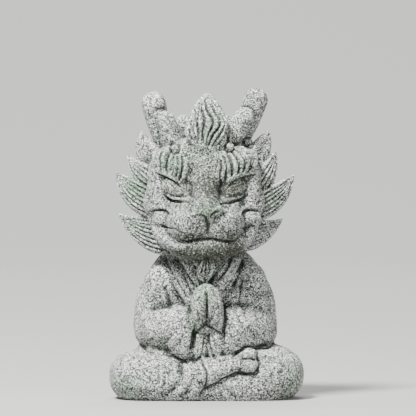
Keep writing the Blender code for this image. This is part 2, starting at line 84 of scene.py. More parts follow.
# One round lump of clay is modelled from a cube, and every mass of the figure is a copy of it. The
# tangent spreads the cube's points, so that they lie evenly on the ball.
bpy.ops.mesh.primitive_cube_add(size=2)
lump = bpy.context.object
bpy.ops.object.mode_set(mode="EDIT")
bpy.ops.mesh.subdivide(number_cuts=19)
bpy.ops.object.mode_set(mode="OBJECT")
lump_points = np.tan(read_points(lump.data) * math.pi / 4)


def mass(place, radii, turn=(0, 0, 0), boxy=2.0):
    """A rounded mass in millimetres: a ball that grows squarer as boxy rises above 2."""
    made = bpy.data.objects.new("mass", lump.data.copy())
    bpy.context.collection.objects.link(made)
    size = (np.abs(lump_points) ** boxy).sum(1) ** (1 / boxy)
    rotation = np.array(Euler([math.radians(a) for a in turn]).to_matrix())
    shaped = (lump_points / size[:, None] * np.array(radii)) @ rotation.T + np.array(place)
    write_points(made.data, shaped * MM)
    return made


CAP_RINGS = (20, 40, 58, 73, 84)


def limb(route):
    """A round limb through (x, y, z, radius) points in millimetres: a curve with a round bevel, whose
    radius falls away in a half ball at each end, with a ring at each of CAP_RINGS' degrees."""
    rows = 9 * (len(route) - 1)
    line = [along(route, k / rows) for k in range(rows + 1)]
    for a, b in ((0, 1), (-1, -2)):
        out = line[a][:3] - line[b][:3]
        out /= np.linalg.norm(out)
        tip, radius = line[a][:3].copy(), line[a][3]
        for angle in CAP_RINGS:
            lift = math.sin(math.radians(angle)) * radius
            ring = np.array([*(tip + out * lift), math.cos(math.radians(angle)) * radius])
            line.insert(0 if a == 0 else len(line), ring)
    path = bpy.data.curves.new("limb", "CURVE")
    path.dimensions = "3D"
    path.bevel_depth = MM
    path.bevel_resolution = 6
    path.use_fill_caps = True
    spline = path.splines.new("POLY")
    spline.points.add(len(line) - 1)
    for point, (x, y, z, radius) in zip(spline.points, line):
        point.co = (x * MM, y * MM, z * MM, 1)
        point.radius = max(radius, 0.03)
    made = bpy.data.objects.new("limb", path)
    bpy.context.collection.objects.link(made)
    return made


clay = [
    mass((-26.5, -5, 11), (22, 25, 15), boxy=2.3),
    mass((27.5, -5, 12), (21.5, 25, 15.3), boxy=2.3),
    mass((0, 8, 13), (33, 23, 17), boxy=2.3),
    mass((16, -16, 7), (26, 15, 11), boxy=2.3),
    mass((-12, -16, 8), (20, 15, 11), boxy=2.3),
]

# The trunk in its robe, the shoulders, and the arms bent forward so that the palms meet before the
# chest. They are soft forms of the same cast stone, with no seam to the seat.
clay += [
    mass((0, 3, 42), (24, 18, 32)),
    mass((0, 4, 58), (25, 15, 15)),
    mass((0, -9, 28), (14, 11, 14)),
]
for side in (-1, 1):
    clay += [
        limb([(side * 14.5, 5, 62.5, 12.2), (side * 22.8, 3, 49, 12), (side * 24.7, -1, 35, 11.3)]),
        mass((side * 20, -2.5, 55), (10.5, 10.8, 13.5), turn=(0, 20 * side, 0)),
    ]

# The neck and the dragon's head: skull, brows, cheeks, jaw and muzzle. All is cast in one with the
# body. The face's middle lies at AXIS, a little left of the seat's.
AXIS = -1.3
clay += [
    mass((AXIS, 2, 71), (20, 17, 9)),
    mass((AXIS, -6, 67), (12, 10, 9)),
    mass((AXIS, 3, 106), (28.5, 25, 28), boxy=2.2),
    mass((AXIS, -3, 92), (28, 22, 15), boxy=2.2),
    mass((AXIS, -14, 119), (20, 11, 13)),
    mass((AXIS, -24, 88), (19.5, 13.5, 11), boxy=2.4),
    mass((AXIS, -18, 76.5), (19, 16, 8)),
    limb([(AXIS, -13, 122, 11), (AXIS, -20.5, 112, 7.6), (AXIS, -27.4, 102, 6.6), (AXIS, -33, 95, 7.4)]),
    mass((AXIS, -26, 85.5), (15.5, 9.5, 6.5), boxy=3),
]
for side in (-1, 1):
    clay += [
        mass((AXIS + side * 15.5, -13, 118), (10.5, 9.5, 8.5), turn=(0, -12 * side, 0)),
        mass((AXIS + side * 12.5, -18, 114.5), (6.5, 8.5, 10), turn=(0, 14 * side, 0)),
        mass((AXIS + side * 21, -9, 98), (10, 13, 11)),
        mass((AXIS + side * 8.4, -28, 87.2), (8.6, 9.8, 8.7), boxy=2.8),
        mass((AXIS + side * 9.5, -21.5, 96), (8.5, 8, 5.6)),
        mass((AXIS + side * 22, -8, 110), (7, 11, 11)),
        mass((AXIS + side * 22, -14, 103.5), (6.5, 7.5, 7)),
    ]


def fuse(name, forms, grain, rounds):
    """One closed body of all the forms, remeshed in cubes of grain millimetres and smoothed a number
    of rounds."""
    bpy.ops.object.select_all(action="DESELECT")
    for form in forms:
        form.select_set(True)
    bpy.context.view_layer.objects.active = forms[0]
    bpy.ops.object.convert(target="MESH")
    bpy.ops.object.join()
    made = bpy.context.object
    made.name = name
    bpy.ops.object.mode_set(mode="EDIT")
    bpy.ops.mesh.select_all(action="SELECT")
    bpy.ops.mesh.normals_make_consistent(inside=False)
    bpy.ops.object.mode_set(mode="OBJECT")
    modifier = made.modifiers.new("fuse", "REMESH")
    modifier.mode = "VOXEL"
    modifier.voxel_size = grain * MM
    bpy.ops.object.modifier_apply(modifier="fuse")
    modifier = made.modifiers.new("soften", "SMOOTH")
    modifier.factor = 0.5
    modifier.iterations = rounds
    bpy.ops.object.modifier_apply(modifier="soften")
    made.select_set(False)
    return made


core = fuse("core", clay, grain=0.9, rounds=19)

# The forearms in their wide sleeves, thick and soft, lie across the trunk with a crease at each elbow.
# They are laid on the fused trunk and softened less than it, so that they keep their own rounding.
clay = [core]
for side in (-1, 1):
    clay += [
        limb([(side * 26, 3, 36.5, 10.4), (side * 22, -9, 35.5, 11.8), (side * 14, -17, 36, 11.2)]),
        mass((side * 24.8, -4, 33.5), (11.0, 13, 9.5)),
    ]
clay += [
    mass((-13.2, -20, 32.8), (8.2, 9.2, 14.2), turn=(0, -16, 0)),
    mass((12.6, -20, 33), (7.6, 9, 13.8), turn=(0, 13, 0)),
    mass((23.5, -6.5, 46.5), (8.2, 9.0, 6.5)),
    mass((0.5, -17.5, 24), (6, 6, 6)),
    mass((14.5, -12.5, 49.5), (9, 5.5, 6.5)),
]
core = fuse("core", clay, grain=0.75, rounds=9)
skin = BVHTree.FromObject(core, bpy.context.evaluated_depsgraph_get())


def on_skin(x, z):
    """The skin's y at x and z as seen from the front, in millimetres."""
    before_it = Vector((x * MM, -0.3, z * MM))
    hit = skin.ray_cast(before_it, Vector((0, 1, 0)))[0]
    if hit is None:
        hit = skin.find_nearest(Vector((x * MM, -0.01, z * MM)))[0]
    return hit.y / MM


def strand(points, radii, sink):
    """A strand through (x, z) points as seen from the front, like a roll of clay laid on the skin and
    sunk into it by sink millimetres. radii and sink each hold their values from end to end."""
    line = []
    rows = 14
    for k in range(rows + 1):
        x, z = along(points, k / rows)
        radius, depth = (float(along([(v,) for v in values], k / rows)[0]) for values in (radii, sink))
        line.append((x, on_skin(x, z) + depth, z, radius))
    smooth = [line[0], *[tuple((np.array(a) + 2 * np.array(b) + np.array(c)) / 4)
                         for a, b, c in zip(line, line[1:], line[2:])], line[-1]]
    return limb(smooth[::2])


def mirrored(points, side):
    """Points given for the face's right half in millimetres from its middle, put on either half."""
    return [(AXIS + side * x, z) for x, z in points]


# The face: nose, lower jaw, overhanging brows, closed lids, cheeks and the beard's core. They are
# modelled over the head, so they keep crisper edges than the broad forms below them.
detail = [mass((AXIS + 0.3, -36.0, 95.2), (7.8, 3.8, 3.6))]
jaw = [(24, -13, 91, 4.2), (20, -20.5, 81.6, 4.8), (11, -29.5, 76.3, 4.6)]
chin = [(AXIS - x, y, z, r) for x, y, z, r in jaw] + [(AXIS, -33, 75.2, 4.9)]
chin += [(AXIS + x, y, z, r) for x, y, z, r in reversed(jaw)]
detail.append(limb(chin))
brow_edges = [
    [(-26.2, 112.9), (-23.5, 111.6), (-20.8, 110.5), (-17.7, 108.9), (-15, 107.4), (-12.7, 105.9),
     (-10.6, 104.2)],
    [(24.5, 112.2), (21.5, 111.6), (18.4, 110.8), (15.4, 109.7), (12.3, 108.2), (9.6, 105.9),
     (6.5, 103.4)],
]
ridge_above_edge = (1.4, 2.2, 2.6, 2.6, 2.6, 2.4, 2.0)
for edge in brow_edges:
    ridge = [(x, z + lift) for (x, z), lift in zip(edge, ridge_above_edge)]
    detail.append(strand(ridge, radii=(1.2, 2.3, 2.7, 2.5, 1.6), sink=(1.0, 0.9, 0.9, 0.9, 0.9)))
detail += [
    mass((-16.1, -21.8, 104.7), (8.3, 4.4, 4.9), turn=(0, 22, -34)),
    mass((12.8, -21.7, 104.3), (8.3, 4.4, 4.9), turn=(0, -28, 34)),
    mass((-1.6, -24.4, 66.5), (4.2, 4.0, 7.5)),
]
for side in (-1, 1):
    detail += [
        mass((AXIS + side * 8.2, -20.8, 103.8), (4.4, 4.8, 6.0)),
        mass((AXIS + side * 7.2, -26.5, 97.4), (5.6, 6.0, 4.4)),
        mass((AXIS + side * 7.6, -20.6, 110.5), (3.4, 4.8, 5.5)),
        mass((AXIS + side * 21.6 + 1.1, -18.8, 89.9), (5.6, 6, 4.6)),
        mass((AXIS + side * 5.2, -36.4, 93.9), (2.4, 2.8, 2.0)),
    ]

# Two blunt horns on each side and a rise behind each pair, with the crest's core between them.
# They stand thick and straight, because thin ones would break out of the mould.
detail += [
    limb([(-16, 2, 124, 8), (-19.5, 2, 130, 6.8), (-23.6, 2, 138.8, 6.1), (-25.9, 2, 146.9, 6.3)]),
    limb([(-15, -4, 126, 7), (-17.6, -6, 131, 5.4), (-20.2, -7, 139.0, 4.7)]),
    limb([(12, 2, 122, 8), (15.6, 2, 129, 6.8), (21.6, 2, 139.0, 5.9), (25.2, 2, 148.8, 6.3)]),
    limb([(10.5, -4, 124, 7), (13.4, -6, 131, 5.8), (19.4, -7, 140.2, 5.3)]),
    mass((-0.6, -14, 134), (7.5, 6, 9), turn=(-20, 0, 0)),
    mass((-0.1, -12.3, 142.5), (5.2, 4.6, 7.5), turn=(-16, 0, 0)),
    mass((-10, 9, 136), (5, 6, 5.5)),
    mass((10, 9, 136), (5, 6, 5.5)),
]

# The crest: a lump of hair like a flame over the forehead. It and the mane's locks are made as one
# leaf-shaped form, modelled from a ball.
bpy.ops.object.select_all(action="DESELECT")
bpy.ops.mesh.primitive_uv_sphere_add(segments=48, ring_count=44, radius=1)
bud = bpy.context.object
bud_points = np.round(read_points(bud.data), 5)


class Leaf:
    """A leaf-shaped lock of hair from root to tip. facing is the way its broad side looks, bow bends it
    sideways and lean bends it that way. start is the share of the leaf buried in its root, taper says how
    soon it narrows towards root and tip, and hollow dishes its broad side."""

    def __init__(self, root, tip, half_width, facing, thick, grooves=0, bow=0.0, lean=0.0, start=0.15,
                 taper=(0.6, 0.9), hollow=0.0):
        self.root = Vector(root)
        self.tip = Vector(tip)
        self.half_width = half_width
        self.looks = Vector(facing).normalized()
        self.thick = thick
        self.grooves = grooves
        self.bow = bow
        self.lean = lean
        self.start = start
        self.taper = taper
        self.hollow = hollow

    def profile(self, share):
        """Width at a share of the whole leaf's length, 1 where the leaf is widest."""
        rise, fall = self.taper
        widest = rise / (rise + fall)
        return (share / widest) ** rise * ((1 - share) / (1 - widest)) ** fall

    def frame(self, t):
        """Centre, across, out and half width of the leaf at t."""
        run = self.tip - self.root
        side = self.looks.cross(run).normalized()
        centre = self.root + run * t + (side * self.bow + self.looks * self.lean) * (4 * t * (1 - t))
        ahead = (run + (side * self.bow + self.looks * self.lean) * (4 - 8 * t)).normalized()
        across = self.looks.cross(ahead).normalized()
        share = self.start + (1 - self.start) * t
        width = self.half_width * max(self.profile(share), 0.03)
        return centre, across, ahead.cross(across), width

    def crown(self, s, width):
        """Height of the broad side above the leaf's middle, at s from -1 to 1 across it."""
        dish = 1 - self.hollow * (1 - s * s) ** 2
        return (1 - abs(s) ** 2.6) ** 0.5 * self.thick * min(1.0, 0.3 + width / self.half_width) * dish

    def solid(self):
        """The leaf, a copy of a ball whose poles go to root and tip, flatter behind than in front."""
        made = bpy.data.objects.new("lock", bud.data.copy())
        bpy.context.collection.objects.link(made)
        shaped = np.empty((len(bud_points), 3))
        for z in np.unique(bud_points[:, 2]):
            ring = np.nonzero(bud_points[:, 2] == z)[0]
            centre, across, out, width = self.frame(math.acos(max(-1.0, min(1.0, z))) / math.pi)
            reach = np.hypot(bud_points[ring, 0], bud_points[ring, 1])
            s = bud_points[ring, 0] / np.maximum(reach, 1e-6)
            lift = self.crown(s, width) * np.where(bud_points[ring, 1] >= 0, 1, -0.6)
            shaped[ring] = (np.array(centre) + np.outer(s * width, np.array(across))
                            + np.outer(lift, np.array(out)))
        write_points(made.data, shaped * MM)
        return made

    def groove_lines(self):
        """The grooves as lines in space along the broad side, from just past the root to just short of
        the tip."""
        lines = []
        rows = 18
        for k in range(self.grooves):
            s = (2 * (k + 1) / (self.grooves + 1) - 1) * 0.96
            line = []
            for i in range(rows + 1):
                centre, across, out, width = self.frame(0.04 + 0.93 * (i / rows))
                line.append(centre + across * width * s + out * self.crown(s, width))
            lines.append(line)
        return lines


crest = Leaf((-0.6, -20.6, 121.8), (0.2, -9.5, 152.4), 10.7, facing=(0, -1, 0.25), thick=4.6,
             lean=3.4, start=0.0, taper=(0.55, 0.85))

# The robe's crossed lapels, the wide sleeves with their inner flaps, the hem over the shin, and the
# bare foot with its toes. The cloth is carved, not real: thick, round-edged folds of stone.
detail += [
    limb([(-17.5, 3, 70, 4), (-14.5, -9, 63.5, 4.6), (-9.5, -14.5, 54, 4.6), (-6, -17, 48, 4.4)]),
    limb([(16, 3, 70, 4), (11.5, -10, 64, 4.7), (6, -15.5, 56, 4.7), (1, -17, 50, 4.4)]),
    limb([(-9.3, -12, 69, 4.8), (-5.9, -18.3, 61.5, 4.8), (-3.2, -19.6, 54, 4.6)]),
    mass((-4.3, -21, 29), (4.1, 6.8, 10.5), boxy=2.5),
    mass((3.6, -21.3, 29.5), (4.6, 6.8, 10.5), boxy=2.5),
    mass((-1.0, -23.5, 36), (5, 5.5, 4)),
    mass((-8.2, -23, 9.6), (7.4, 8.6, 10.4), boxy=2.3),
    limb([(-3, -24, 13.4, 7.6), (1.0, -26, 14.2, 7.4), (7.0, -27, 16.4, 5.9), (13.0, -27, 18.4, 4.6),
          (17.6, -26.5, 18.4, 4.4)]),
    mass((20.2, -27.5, 17.5), (4.8, 4.9, 4.3)),
    mass((19.7, -26.8, 22.9), (4.7, 4.9, 3.4), turn=(0, -10, 0)),
]

# The hands, palm to palm before the chest, with the thumbs along the seam. With them the small forms
# are complete, and they, the crest and the trunk are fused into one body.
for side, middle, wide in ((-1, -1.2, 4.0), (1, -0.9, 4.4)):
    palm = (middle + side * 4.1, -26.5, 45.6)
    detail += [
        mass(palm, (wide, 7, 11.6), turn=(12, -7 * side, 0), boxy=2.2),
        mass((middle + side * 2.4, -31, 47.5), (2.4, 3.2, 7.5), turn=(12, -5 * side, 0)),
        mass((middle + side * 1.7, -28.2, 54.0), (3.0, 4.6, 4.0)),
    ]
detail += [
    mass((-1.0, -26.8, 56.0), (3.6, 4.2, 2.6)),
    mass((-1.1, -26, 47), (3.6, 5.4, 8.5), boxy=2.4),
]
body = fuse("body", [core, *detail, crest.solid()], grain=0.55, rounds=6)

# Strands laid on the body like rolled clay: the hair of the crest and of the bushy brows, the rims of
# the closed lids, the folds of the cheeks and the curl of the nostril. Three small knobs sit over the
# brows.
skin = BVHTree.FromObject(body, bpy.context.evaluated_depsgraph_get())
strands = []
crest_hair = [
    [(-9.2, 137.0), (-9.8, 134.2), (-9.8, 132.0), (-8.6, 129.2)],
    [(-7.8, 142.4), (-7.6, 139.6), (-7.6, 137.0), (-8.4, 134.1), (-7.8, 131.3), (-6.3, 127.8),
     (-5.0, 126.0)],
    [(-4.5, 148.4), (-5.2, 144.9), (-5.9, 141.3), (-5.9, 137.7), (-6.6, 134.9), (-6.3, 132.7),
     (-5.2, 130.6), (-4.9, 127.7), (-4.5, 126.2)],
    [(-3.4, 149.1), (-3.1, 146.3), (-4.1, 143.4), (-4.5, 141.3), (-3.4, 139.1), (-4.1, 135.6),
     (-3.8, 132.7), (-4.3, 129.9)],
    [(-2.0, 149.9), (-1.3, 147.0), (-2.0, 144.9), (-1.3, 142.0), (0.1, 139.1), (0.9, 137.0),
     (-0.2, 133.4), (-1.3, 130.6), (-1.3, 127.0), (-0.9, 124.9)],
    [(-0.6, 151.6), (-0.2, 148.4), (0.9, 145.2), (2.3, 142.0), (4.4, 139.9), (4.4, 136.6), (3.0, 134.1),
     (0.9, 132.0), (-0.2, 128.8), (-0.8, 126.3)],
    [(0.5, 150.9), (1.9, 148.1), (3.7, 145.2), (5.9, 142.7), (7.3, 139.9), (8.4, 137.7), (7.3, 135.6),
     (5.9, 133.4), (3.7, 131.3), (1.9, 128.4), (0.5, 124.9), (-0.0, 123.2)],
    [(0.9, 152.7), (3.4, 147.7), (6.9, 142.7), (8.7, 139.1), (9.2, 136.3), (8.0, 132.7), (5.9, 129.9),
     (3.7, 128.4)],
]
for hair in crest_hair:
    strands.append(strand(hair, radii=(0.35, 0.9, 1.1, 1.05, 0.4), sink=(0.3, 0.1, 0.1, 0.2, 0.2)))
left_tufts = [
    [(-25.3, 115.3), (-25.7, 118.1), (-26.0, 120.8), (-24.8, 123.8), (-22.5, 125.8)],
    [(-21.8, 113.4), (-22.2, 117.4), (-21.8, 121.4), (-19.9, 124.4), (-18.6, 125.6)],
    [(-19.0, 112.0), (-18.6, 115.1), (-18.5, 118.2), (-18.0, 121.2), (-17.2, 123.2)],
    [(-17.7, 111.3), (-16.6, 114.3), (-16.3, 118.2), (-16.6, 121.8)],
    [(-15.2, 110.4), (-14.5, 113.4), (-14.0, 118.2), (-14.3, 123.0)],
    [(-13.6, 108.6), (-11.9, 112.8), (-11.1, 116.6), (-11.3, 120.8)],
]
right_tufts = [
    [(22.9, 114.4), (23.9, 118.8), (22.9, 122.9), (17.9, 127.0)],
    [(18.9, 114.2), (20.1, 118.0), (18.6, 121.2), (14.4, 125.2)],
    [(16.4, 113.6), (17.2, 117.4), (16.1, 121.2), (12.8, 124.6)],
    [(13.5, 112.6), (13.9, 115.1), (13.1, 118.5), (11.2, 122.4)],
    [(9.8, 111.0), (10.1, 114.3), (9.6, 118.5), (7.9, 123.0)],
    [(7.3, 108.7), (7.3, 112.8), (7.5, 116.6), (7.1, 120.6)],
    [(5.4, 107.0), (4.9, 110.5), (5.0, 114.3), (5.9, 119.0)],
]
for tuft in left_tufts + right_tufts:
    strands.append(strand(tuft, radii=(1.0, 1.5, 1.6, 1.3, 0.35), sink=(0.9, 0.3, 0.3, 0.3, 0.2)))
lid_rims = {
    -1: ((20.6, 103.2), (17.9, 101.1), (13.8, 100.2), (9.8, 100.5), (7.4, 99.6)),
    1: ((21.2, 104.2), (18.6, 101.7), (14.8, 100.4), (10.7, 99.7), (6.9, 99.3)),
}
cheek_fold = ((28, 95.0), (23.8, 96.3), (20.2, 96.0), (17.8, 94.2), (17.0, 91.4))
for side in (-1, 1):
    strands.append(strand(mirrored(lid_rims[side], side), radii=(0.3, 0.9, 1.0, 0.8, 0.3),
                          sink=(0.3, 0.1, 0.1, 0.3)))
    strands.append(strand(mirrored(cheek_fold, side), radii=(0.3, 1.2, 1.4, 1.1, 0.3),
                          sink=(0.4, 0.3, 0.3, 0.4)))
knobs = ((-16.2, 125.0, 2.2), (11.0, 125.8, 2.2), (21.2, 127.6, 2.4))
for x, z, radius in knobs:
    strands.append(mass((x, on_skin(x, z) - 0.2, z), (radius, radius, radius)))
nostril = [(0.3, 92.6), (1.6, 94.6), (3.9, 95.7), (5.9, 95.0), (6.3, 93.2), (5.2, 91.9)]
strands.append(strand(nostril, radii=(0.4, 0.8, 0.8, 0.5), sink=(0.4, 0.3, 0.3, 0.4)))

# The short beard: four strands that close to a point above the hands, and two thin whiskers on each
# side of it under the chin. They are rolled and laid on like the hair of the crest.
beard = [
    [(-1.5, 72.5), (-3.3, 68.2), (-4.7, 64.5), (-3.9, 61.4), (-2.5, 59.4)],
    [(-1.1, 72.5), (-2.1, 67.7), (-2.7, 64.0), (-2.5, 61.4), (-2.0, 59.2)],
    [(-0.6, 72.5), (-0.5, 67.7), (-0.7, 64.0), (-1.3, 61.4), (-1.7, 59.2)],
    [(-0.2, 72.5), (1.0, 68.2), (1.3, 65.1), (0.3, 62.4), (-1.3, 59.6)],
]
for hair in beard:
    strands.append(strand(hair, radii=(0.5, 1.0, 1.2, 1.0, 0.4), sink=(0.1, -0.3, -0.3, -0.2, 0.1)))
whiskers = [
    [(-11.5, 70.4), (-8.4, 68.2), (-4.8, 67.6)],
    [(-10.0, 72.0), (-7.2, 69.8), (-4.0, 69.2)],
    [(9.6, 72.6), (6.6, 69.8), (2.2, 67.7)],
    [(8.0, 73.2), (5.0, 70.8), (1.6, 69.6)],
]
for hair in whiskers:
    strands.append(strand(hair, radii=(0.3, 0.9, 0.9, 0.5), sink=(0.2, 0.2, 0.2, 0.2)))

# The mane: pointed locks beside the face and four rows of them down the back of the head, with the
# crest's fluted back above them. Each is a leaf-shaped lump, and the topmost ones beside the face are
# dished in place of fluted. A lock is given by root, tip, half width, flutes, bow and taper.
leaves = [Leaf((-0.6, -9, 124), (0.2, -9.3, 152), 10.6, facing=(0, 1, 0), thick=5, grooves=7,
               lean=1.5)]
beside_face = {
    -1: [
        ((-20.5, -6, 113), (-32.2, -1, 134), 7.4, 0, 3.0, (0.6, 0.9)),
        ((-22, -12, 107), (-39.0, 0, 121.4), 5.8, 4, 2.0, (0.6, 0.9)),
        ((-22.5, -13, 96), (-44.5, 1, 113.2), 7.9, 6, 3.2, (0.6, 0.9)),
        ((-14, -17, 81), (-44.4, 1, 92.8), 9.4, 7, 3.6, (0.6, 1.15)),
    ],
    1: [
        ((18.5, -6, 113), (31.3, -1, 134.4), 7.0, 0, -2.0, (0.6, 0.9)),
        ((21, -11, 101), (35.0, 0, 123.4), 6.2, 4, -2.2, (0.6, 0.9)),
        ((20.5, -13, 94), (44.2, 1, 111.5), 7.4, 6, -3.2, (0.6, 0.9)),
        ((13, -17, 80), (39.0, 0, 89.6), 7.3, 6, -2.2, (0.6, 1.05)),
    ],
}
for side, locks in beside_face.items():
    for root, tip, width, grooves, bow, taper in locks:
        leaves.append(Leaf(root, tip, width, facing=(side * 0.5, -1, 0), thick=3.4, grooves=grooves,
                           bow=bow, taper=taper, hollow=0.0 if grooves else 0.35))
# The rows down the nape: how many locks, and the height and the reach from the head's middle line of
# their roots and of their tips. Each row fans out to half_fan degrees on either side.
down_the_nape = [
    (5, 131, 11, 114, 27.5),
    (6, 117, 21.5, 99, 29.5),
    (7, 102, 22.5, 84, 28),
    (6, 89, 19.5, 74, 22.5),
]
half_fan = 62
for count, top, top_reach, foot, foot_reach in down_the_nape:
    for k in range(count):
        tilt = 2 * k / (count - 1) - 1
        turn = math.radians(half_fan * tilt)
        out = Vector((math.sin(turn), math.cos(turn), 0))
        aside = Vector((math.cos(turn), -math.sin(turn), 0)) * tilt * abs(tilt)
        root = Vector((AXIS, 3, top)) + out * top_reach
        drop = (top - foot) * (1 - 0.4 * tilt * tilt)
        tip = Vector((AXIS, 3, top - drop)) + out * foot_reach + aside * 6
        leaves.append(Leaf(root, tip, 7, facing=out + Vector((0, 0, 0.3)), thick=2.6, grooves=5,
                           lean=2.5))
figure = fuse("tea_pet_dragon", [body, *strands, *(leaf.solid() for leaf in leaves)], grain=0.4, rounds=3)
bpy.data.objects.remove(lump)
bpy.data.objects.remove(bud)

# The flutes of the mane. Every line that a carver would cut into the clay before the mould is taken
# is pressed into the skin, from here on. The flutes on the side away from the light are cut deeper.


class Chisel:
    """Cuts grooves and raises steps along lines on the figure's skin."""

    def __init__(self, body):
        self.points = read_points(body.data) / MM
        self.normals = read_points(body.data, "normal")

    def measure(self, here, drawn):
        """Distance from each point to a drawn line, the share of the line reached, and the side the
        point lies on."""
        best = np.full(len(here), 1e9)
        share = np.zeros(len(here))
        side = np.zeros(len(here))
        for k in range(len(drawn) - 1):
            a, run = drawn[k], drawn[k + 1] - drawn[k]
            t = np.clip((here - a) @ run / max(run @ run, 1e-9), 0, 1)
            gap = np.linalg.norm(here - a - t[:, None] * run, axis=1)
            closer = gap < best
            best[closer] = gap[closer]
            share[closer] = (k + t[closer]) / (len(drawn) - 1)
            if here.shape[1] == 2:
                turn = run[0] * (here[:, 1] - a[1]) - run[1] * (here[:, 0] - a[0])
                side[closer] = np.sign(turn[closer])
        return best, share, side

    def press(self, found, depth, share, quick):
        """Moves the found skin inwards by depth, and by less towards the line's two ends. quick says how
        soon the line reaches its depth."""
        fade = np.clip(np.minimum(share, 1 - share) * quick + 0.1, 0, 1)
        self.points[found] -= self.normals[found] * (depth * fade)[:, None]

    def reach(self, line, margin, facing, near):
        """The skin near a line drawn as seen from the front (facing -1) or from behind (facing 1), at a y
        between the two values of near."""
        rows = 8 * (len(line) - 1)
        drawn = np.array([along(line, k / rows) for k in range(rows + 1)])
        seen = self.points[:, [0, 2]]
        inside = ((seen > drawn.min(0) - margin) & (seen < drawn.max(0) + margin)).all(1)
        inside &= self.normals[:, 1] * facing > -0.1
        inside &= (self.points[:, 1] > near[0]) & (self.points[:, 1] < near[1])
        found = np.nonzero(inside)[0]
        return found, seen[found], drawn

    def cut(self, line, width, depth, near, quick=5, facing=-1):
        """Cuts a groove along (x, z) points."""
        found, here, drawn = self.reach(line, 3 * width, facing, near)
        best, share, _ = self.measure(here, drawn)
        self.press(found, depth * np.exp(-(best / width) ** 2), share, quick)

    def step(self, line, height, fall, near, facing=-1):
        """Raises the skin on the left of a line, as it is drawn, and cuts a crease along its foot."""
        edge, crease_place, crease_width = 0.28, -0.5, 0.7
        found, here, drawn = self.reach(line, 2.5 * fall, facing, near)
        best, share, side = self.measure(here, drawn)
        away = best * side
        up = height * np.exp(-(away / fall) ** 2) / (1 + np.exp(-away / edge))
        down = 0.5 * height * np.exp(-((away - crease_place) / crease_width) ** 2)
        self.press(found, down - up, share, 5)

    def groove(self, line, width, depth, looks):
        """Cuts a groove along a line in space into the skin that looks the same way as looks."""
        drawn = np.array(line)
        low, high = drawn.min(0) - 3 * width, drawn.max(0) + 3 * width
        found = np.nonzero(((self.points > low) & (self.points < high)).all(1))[0]
        found = found[self.normals[found] @ np.array(looks) > 0.1]
        best, share, _ = self.measure(self.points[found], drawn)
        self.press(found, depth * np.exp(-(best / width) ** 2), share, 7)


chisel = Chisel(figure)
for leaf in leaves:
    flute_depth = 1.15 if leaf.looks.x < 0.2 else 1.5
    for line in leaf.groove_lines():
        chisel.groove(line, 0.55, flute_depth, leaf.looks)

# The head's lines, cut with a pointed tool: between the strands of hair, along the brows' and the
# crest's edges, at the horns' joints, round the knobs, lids, cheeks and nose, and the closed mouth.
# Here and below, a pair of numbers named after a region is the nearest and the farthest y of its skin.
face = (-60, -8)
for locks, overrun in ((crest_hair, 0.0), (left_tufts, 0.35), (right_tufts, 0.5), (beard, 0.0)):
    for first, second in zip(locks, locks[1:]):
        between = [((along(first, t) + along(second, t)) / 2) for t in (0, 0.25, 0.5, 0.75, 1)]
        between[0] = between[0] + overrun * (between[0] - between[1])
        chisel.cut([tuple(point) for point in between], 0.45, 1.2, near=face, quick=9)
for edge in brow_edges:
    chisel.cut(edge, 0.5, 1.3, near=face, quick=3)
crest_and_horns = (-60, 3)
for points, width, depth in (
    ([(10.2, 137.5), (9.2, 132.0), (6.8, 128.6), (3.4, 125.8)], 0.6, 1.0),
    ([(-11.2, 137.0), (-11.4, 132.0), (-9.4, 127.8), (-5.4, 125.0)], 0.6, 0.5),
    ([(8.9, 135.3), (9.5, 130.9), (12.2, 127.5), (16.7, 127.5), (19.5, 130.1)], 0.8, 1.0),
    ([(-25.4, 142.4), (-24.3, 144.1), (-20.9, 144.8), (-18.4, 142.4), (-17.2, 138.4)], 0.7, 0.9),
    ([(14.8, 141.6), (17.4, 145.0), (21.2, 145.4), (24.2, 142.6), (24.6, 138.6)], 0.7, 0.8),
):
    chisel.cut(points, width, depth, near=crest_and_horns, quick=4)
for x, z, radius in knobs:
    reach = 1.1 * radius
    ring = [(x + reach * math.cos(k * 0.79), z + reach * math.sin(k * 0.79)) for k in range(9)]
    chisel.cut(ring, 0.4, 0.9, near=(-60, 5), quick=30)
for side in (-1, 1):
    above_rim = [(x - 0.3, z + 1.1) for x, z in lid_rims[side][:-1]]
    below_rim = [(x - 0.2, z - 1.4) for x, z in lid_rims[side]]
    mouth_corner = ((23.4 + side, 88), (21.4 + side, 86.4), (18.4 + side, 85.6), (15.6 + 1.4 * side, 86))
    for points, width, depth in (
        (above_rim, 0.4, 0.6),
        (below_rim, 0.5, 1.1),
        (((18.2, 91.8), (18.5, 93.6), (21.3, 94.5), (24.7, 94.2), (27.4, 93.6)), 0.42, 0.7),
        (mouth_corner, 0.45, 0.8),
        (((28.5, 103), (27.5, 99.6), (25.6, 96.8)), 0.6, 0.7),
    ):
        chisel.cut(mirrored(points, side), width, depth, near=face)
nose, lobes, cleft, mouth = (-60, -30), (-60, -18), (-60, -25), (-60, -20)
